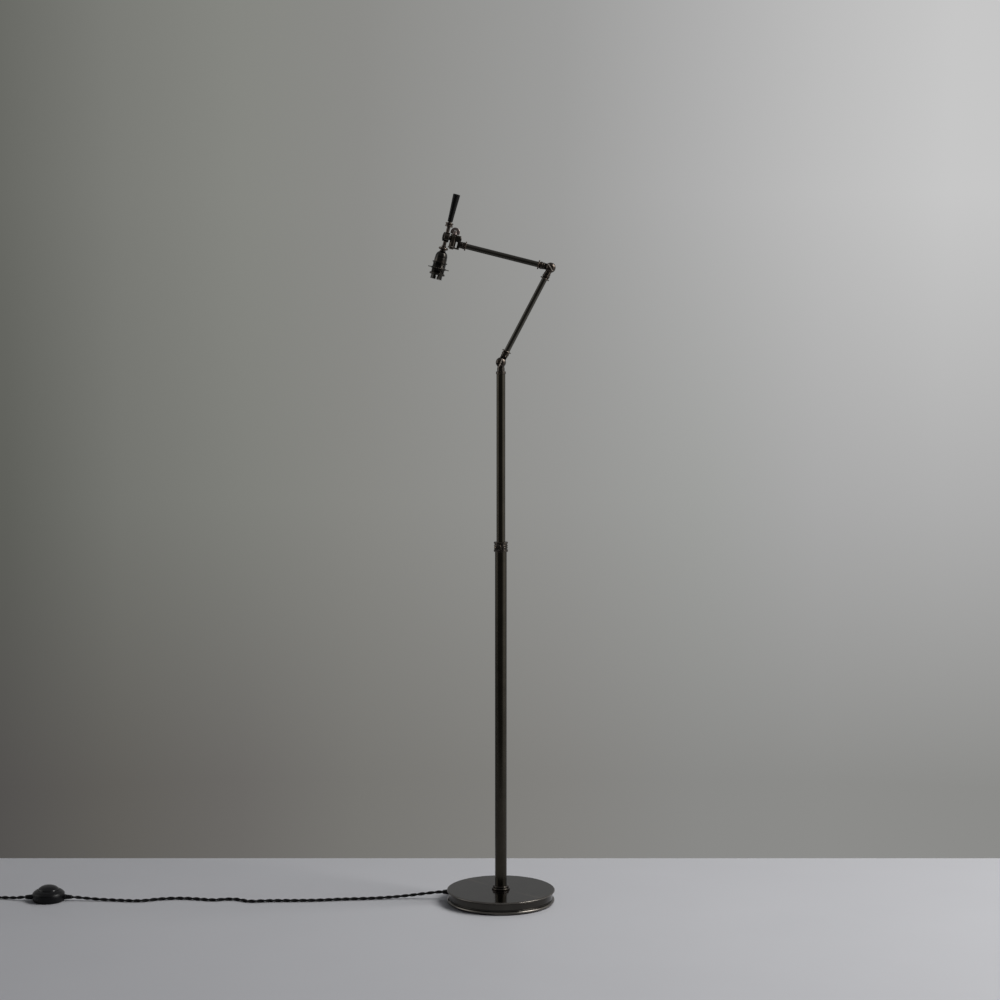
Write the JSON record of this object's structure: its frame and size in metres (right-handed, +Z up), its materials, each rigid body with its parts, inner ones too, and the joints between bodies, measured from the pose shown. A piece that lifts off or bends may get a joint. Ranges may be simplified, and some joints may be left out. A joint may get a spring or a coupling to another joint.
{
  "type": "floor lamp",
  "caption": "Floor lamp with a weighted round base, a telescopic pole, two folding arms and a swivelling bayonet lampholder with a handle; a cloth lead runs through a foot switch.",
  "frame": {"origin": "centre of the felt face under the base, on the floor", "axes": "+Z up the pole, the arms fold in the XZ plane with the head towards -X, and the lead leaves the base towards -X"},
  "size_m": [1.4074, 0.2328, 1.5173],
  "materials": {
    "bronze_plate": "dark bronze lacquer, semi-gloss",
    "bronze_tube": "dark bronze patina, satin",
    "bronze_turned": "dark bronze patina, semi-gloss",
    "bronze_worn": "bronze patina rubbed at the edges",
    "bronze_dark": "blackened bronze, satin",
    "brass_plain": "plain turned brass",
    "steel_plain": "zinc plated",
    "cast_iron": "rough cast",
    "felt": "pressed felt",
    "nylon": "moulded",
    "flex_sheath": "smooth sheath",
    "black_plastic": "moulded, satin",
    "black_gloss": "polished",
    "grip_black": "matte",
    "cloth_cord": "braided cloth over twisted cores"
  },
  "bodies": {
    "base": {"felt_pad": "felt", "base_weight": "cast_iron", "base_cover": "bronze_plate", "cord_gland": "black_plastic", "pole_foot_collar": "bronze_turned", "lower_tube": "bronze_tube", "pole_stud": "brass_plain", "base_lock_nut": "steel_plain", "base_flex": "flex_sheath", "clamp_collar": "bronze_turned", "guide_bush": "nylon", "switch_base": "black_plastic", "switch_cover": "black_plastic", "switch_module": "nylon", "switch_glands": "black_plastic", "cord_base_run": "cloth_cord", "cord_plug_run": "cloth_cord", "cord_coil": "cloth_cord", "cord_plug_tail": "cloth_cord", "coil_tie": "black_plastic", "plug_base": "black_gloss", "plug_cover": "black_gloss", "plug_pins": "brass_plain"},
    "switch_button": {"switch_button": "black_gloss"},
    "clamp_screw": {"clamp_screw": "bronze_turned"},
    "glide": {"glide_ring": "nylon"},
    "upper_column": {"upper_tube": "bronze_tube", "glide_clips": "steel_plain", "column_knuckle": "bronze_turned", "lower_pivot_screw": "bronze_worn", "lower_pivot_nut": "bronze_worn", "lower_pivot_washer": "nylon"},
    "lower_arm": {"lower_arm_knuckle": "bronze_turned", "lower_arm_tube": "bronze_tube", "lower_arm_rings": "bronze_worn", "elbow_socket": "bronze_turned", "elbow_pivot_screw": "bronze_worn", "elbow_pivot_nut": "bronze_worn", "elbow_pivot_washer": "nylon"},
    "upper_arm": {"upper_arm_knuckle": "bronze_turned", "upper_arm_tube": "bronze_tube", "upper_arm_rings": "bronze_worn", "head_yoke": "bronze_turned", "yaw_bolt": "bronze_worn", "yaw_washers": "nylon"},
    "yaw_thumb_screw": {"yaw_thumb_screw": "bronze_worn"},
    "head_swivel": {"yaw_barrel": "bronze_turned"},
    "head": {"head_drum": "bronze_turned", "head_cap": "bronze_dark", "handle_shank": "bronze_worn", "handle_grip": "grip_black", "stem_coupler": "bronze_worn", "lampholder_cap": "bronze_turned", "lampholder_barrel": "bronze_turned", "bayonet_sleeve": "bronze_dark", "lampholder_insert": "black_plastic"},
    "plunger_left": {"plunger_left": "brass_plain"},
    "plunger_right": {"plunger_right": "brass_plain"},
    "shade_ring": {"shade_ring": "bronze_worn"},
    "lower_shade_ring": {"lower_shade_ring": "bronze_turned"}
  },
  "joints": [
    {"name": "column_height", "type": "slide", "parent": "base", "child": "glide", "axis": [0, 0, 1], "range_m": [-0.33, 0.2]},
    {"name": "column_turn", "type": "hinge", "parent": "glide", "child": "upper_column", "pos_m": [0, 0, 0.441], "axis": [0, 0, 1], "range_deg": [-170, 170]},
    {"name": "lower_arm_tilt", "type": "hinge", "parent": "upper_column", "child": "lower_arm", "pos_m": [0, 0, 1.1626], "axis": [0, 1, 0], "range_deg": [-85, 60]},
    {"name": "upper_arm_fold", "type": "hinge", "parent": "lower_arm", "child": "upper_arm", "pos_m": [0.10482, 0, 1.36226], "axis": [0, 1, 0], "range_deg": [-12, 190]},
    {"name": "head_swivel", "type": "hinge", "parent": "upper_arm", "child": "head_swivel", "pos_m": [-0.10196, 0, 1.4142], "axis": [0.2436, 0, 0.9699], "range_deg": [-60, 60]},
    {"name": "head_roll", "type": "hinge", "parent": "head_swivel", "child": "head", "pos_m": [-0.11535, 0, 1.42653], "axis": [-0.9699, 0, 0.2436], "range_deg": [-80, 80]},
    {"name": "yaw_thumb_turn", "type": "hinge", "parent": "upper_arm", "child": "yaw_thumb_screw", "pos_m": [-0.10196, 0, 1.4142], "axis": [0.2436, 0, 0.9699], "continuous": true},
    {"name": "clamp_screw_turn", "type": "hinge", "parent": "base", "child": "clamp_screw", "pos_m": [-0.00717, -0.01867, 0.7696], "axis": [-0.3584, -0.9336, 0], "continuous": true},
    {"name": "shade_ring_turn", "type": "hinge", "parent": "head", "child": "shade_ring", "pos_m": [-0.13185, 0, 1.36087], "axis": [-0.2436, 0, -0.9699], "continuous": true},
    {"name": "lower_shade_ring_turn", "type": "hinge", "parent": "head", "child": "lower_shade_ring", "pos_m": [-0.13479, 0, 1.34913], "axis": [-0.2436, 0, -0.9699], "continuous": true},
    {"name": "plunger_left_press", "type": "slide", "parent": "head", "child": "plunger_left", "axis": [0.2436, 0, 0.9699], "range_m": [0, 0.004], "stiffness_N_per_m": 900, "springref_m": -0.001},
    {"name": "plunger_right_press", "type": "slide", "parent": "head", "child": "plunger_right", "axis": [0.2436, 0, 0.9699], "range_m": [0, 0.004], "stiffness_N_per_m": 900, "springref_m": -0.001},
    {"name": "switch_press", "type": "slide", "parent": "base", "child": "switch_button", "axis": [0, 0, -1], "range_m": [0, 0.0035], "stiffness_N_per_m": 900, "springref_m": -0.001}
  ]
}
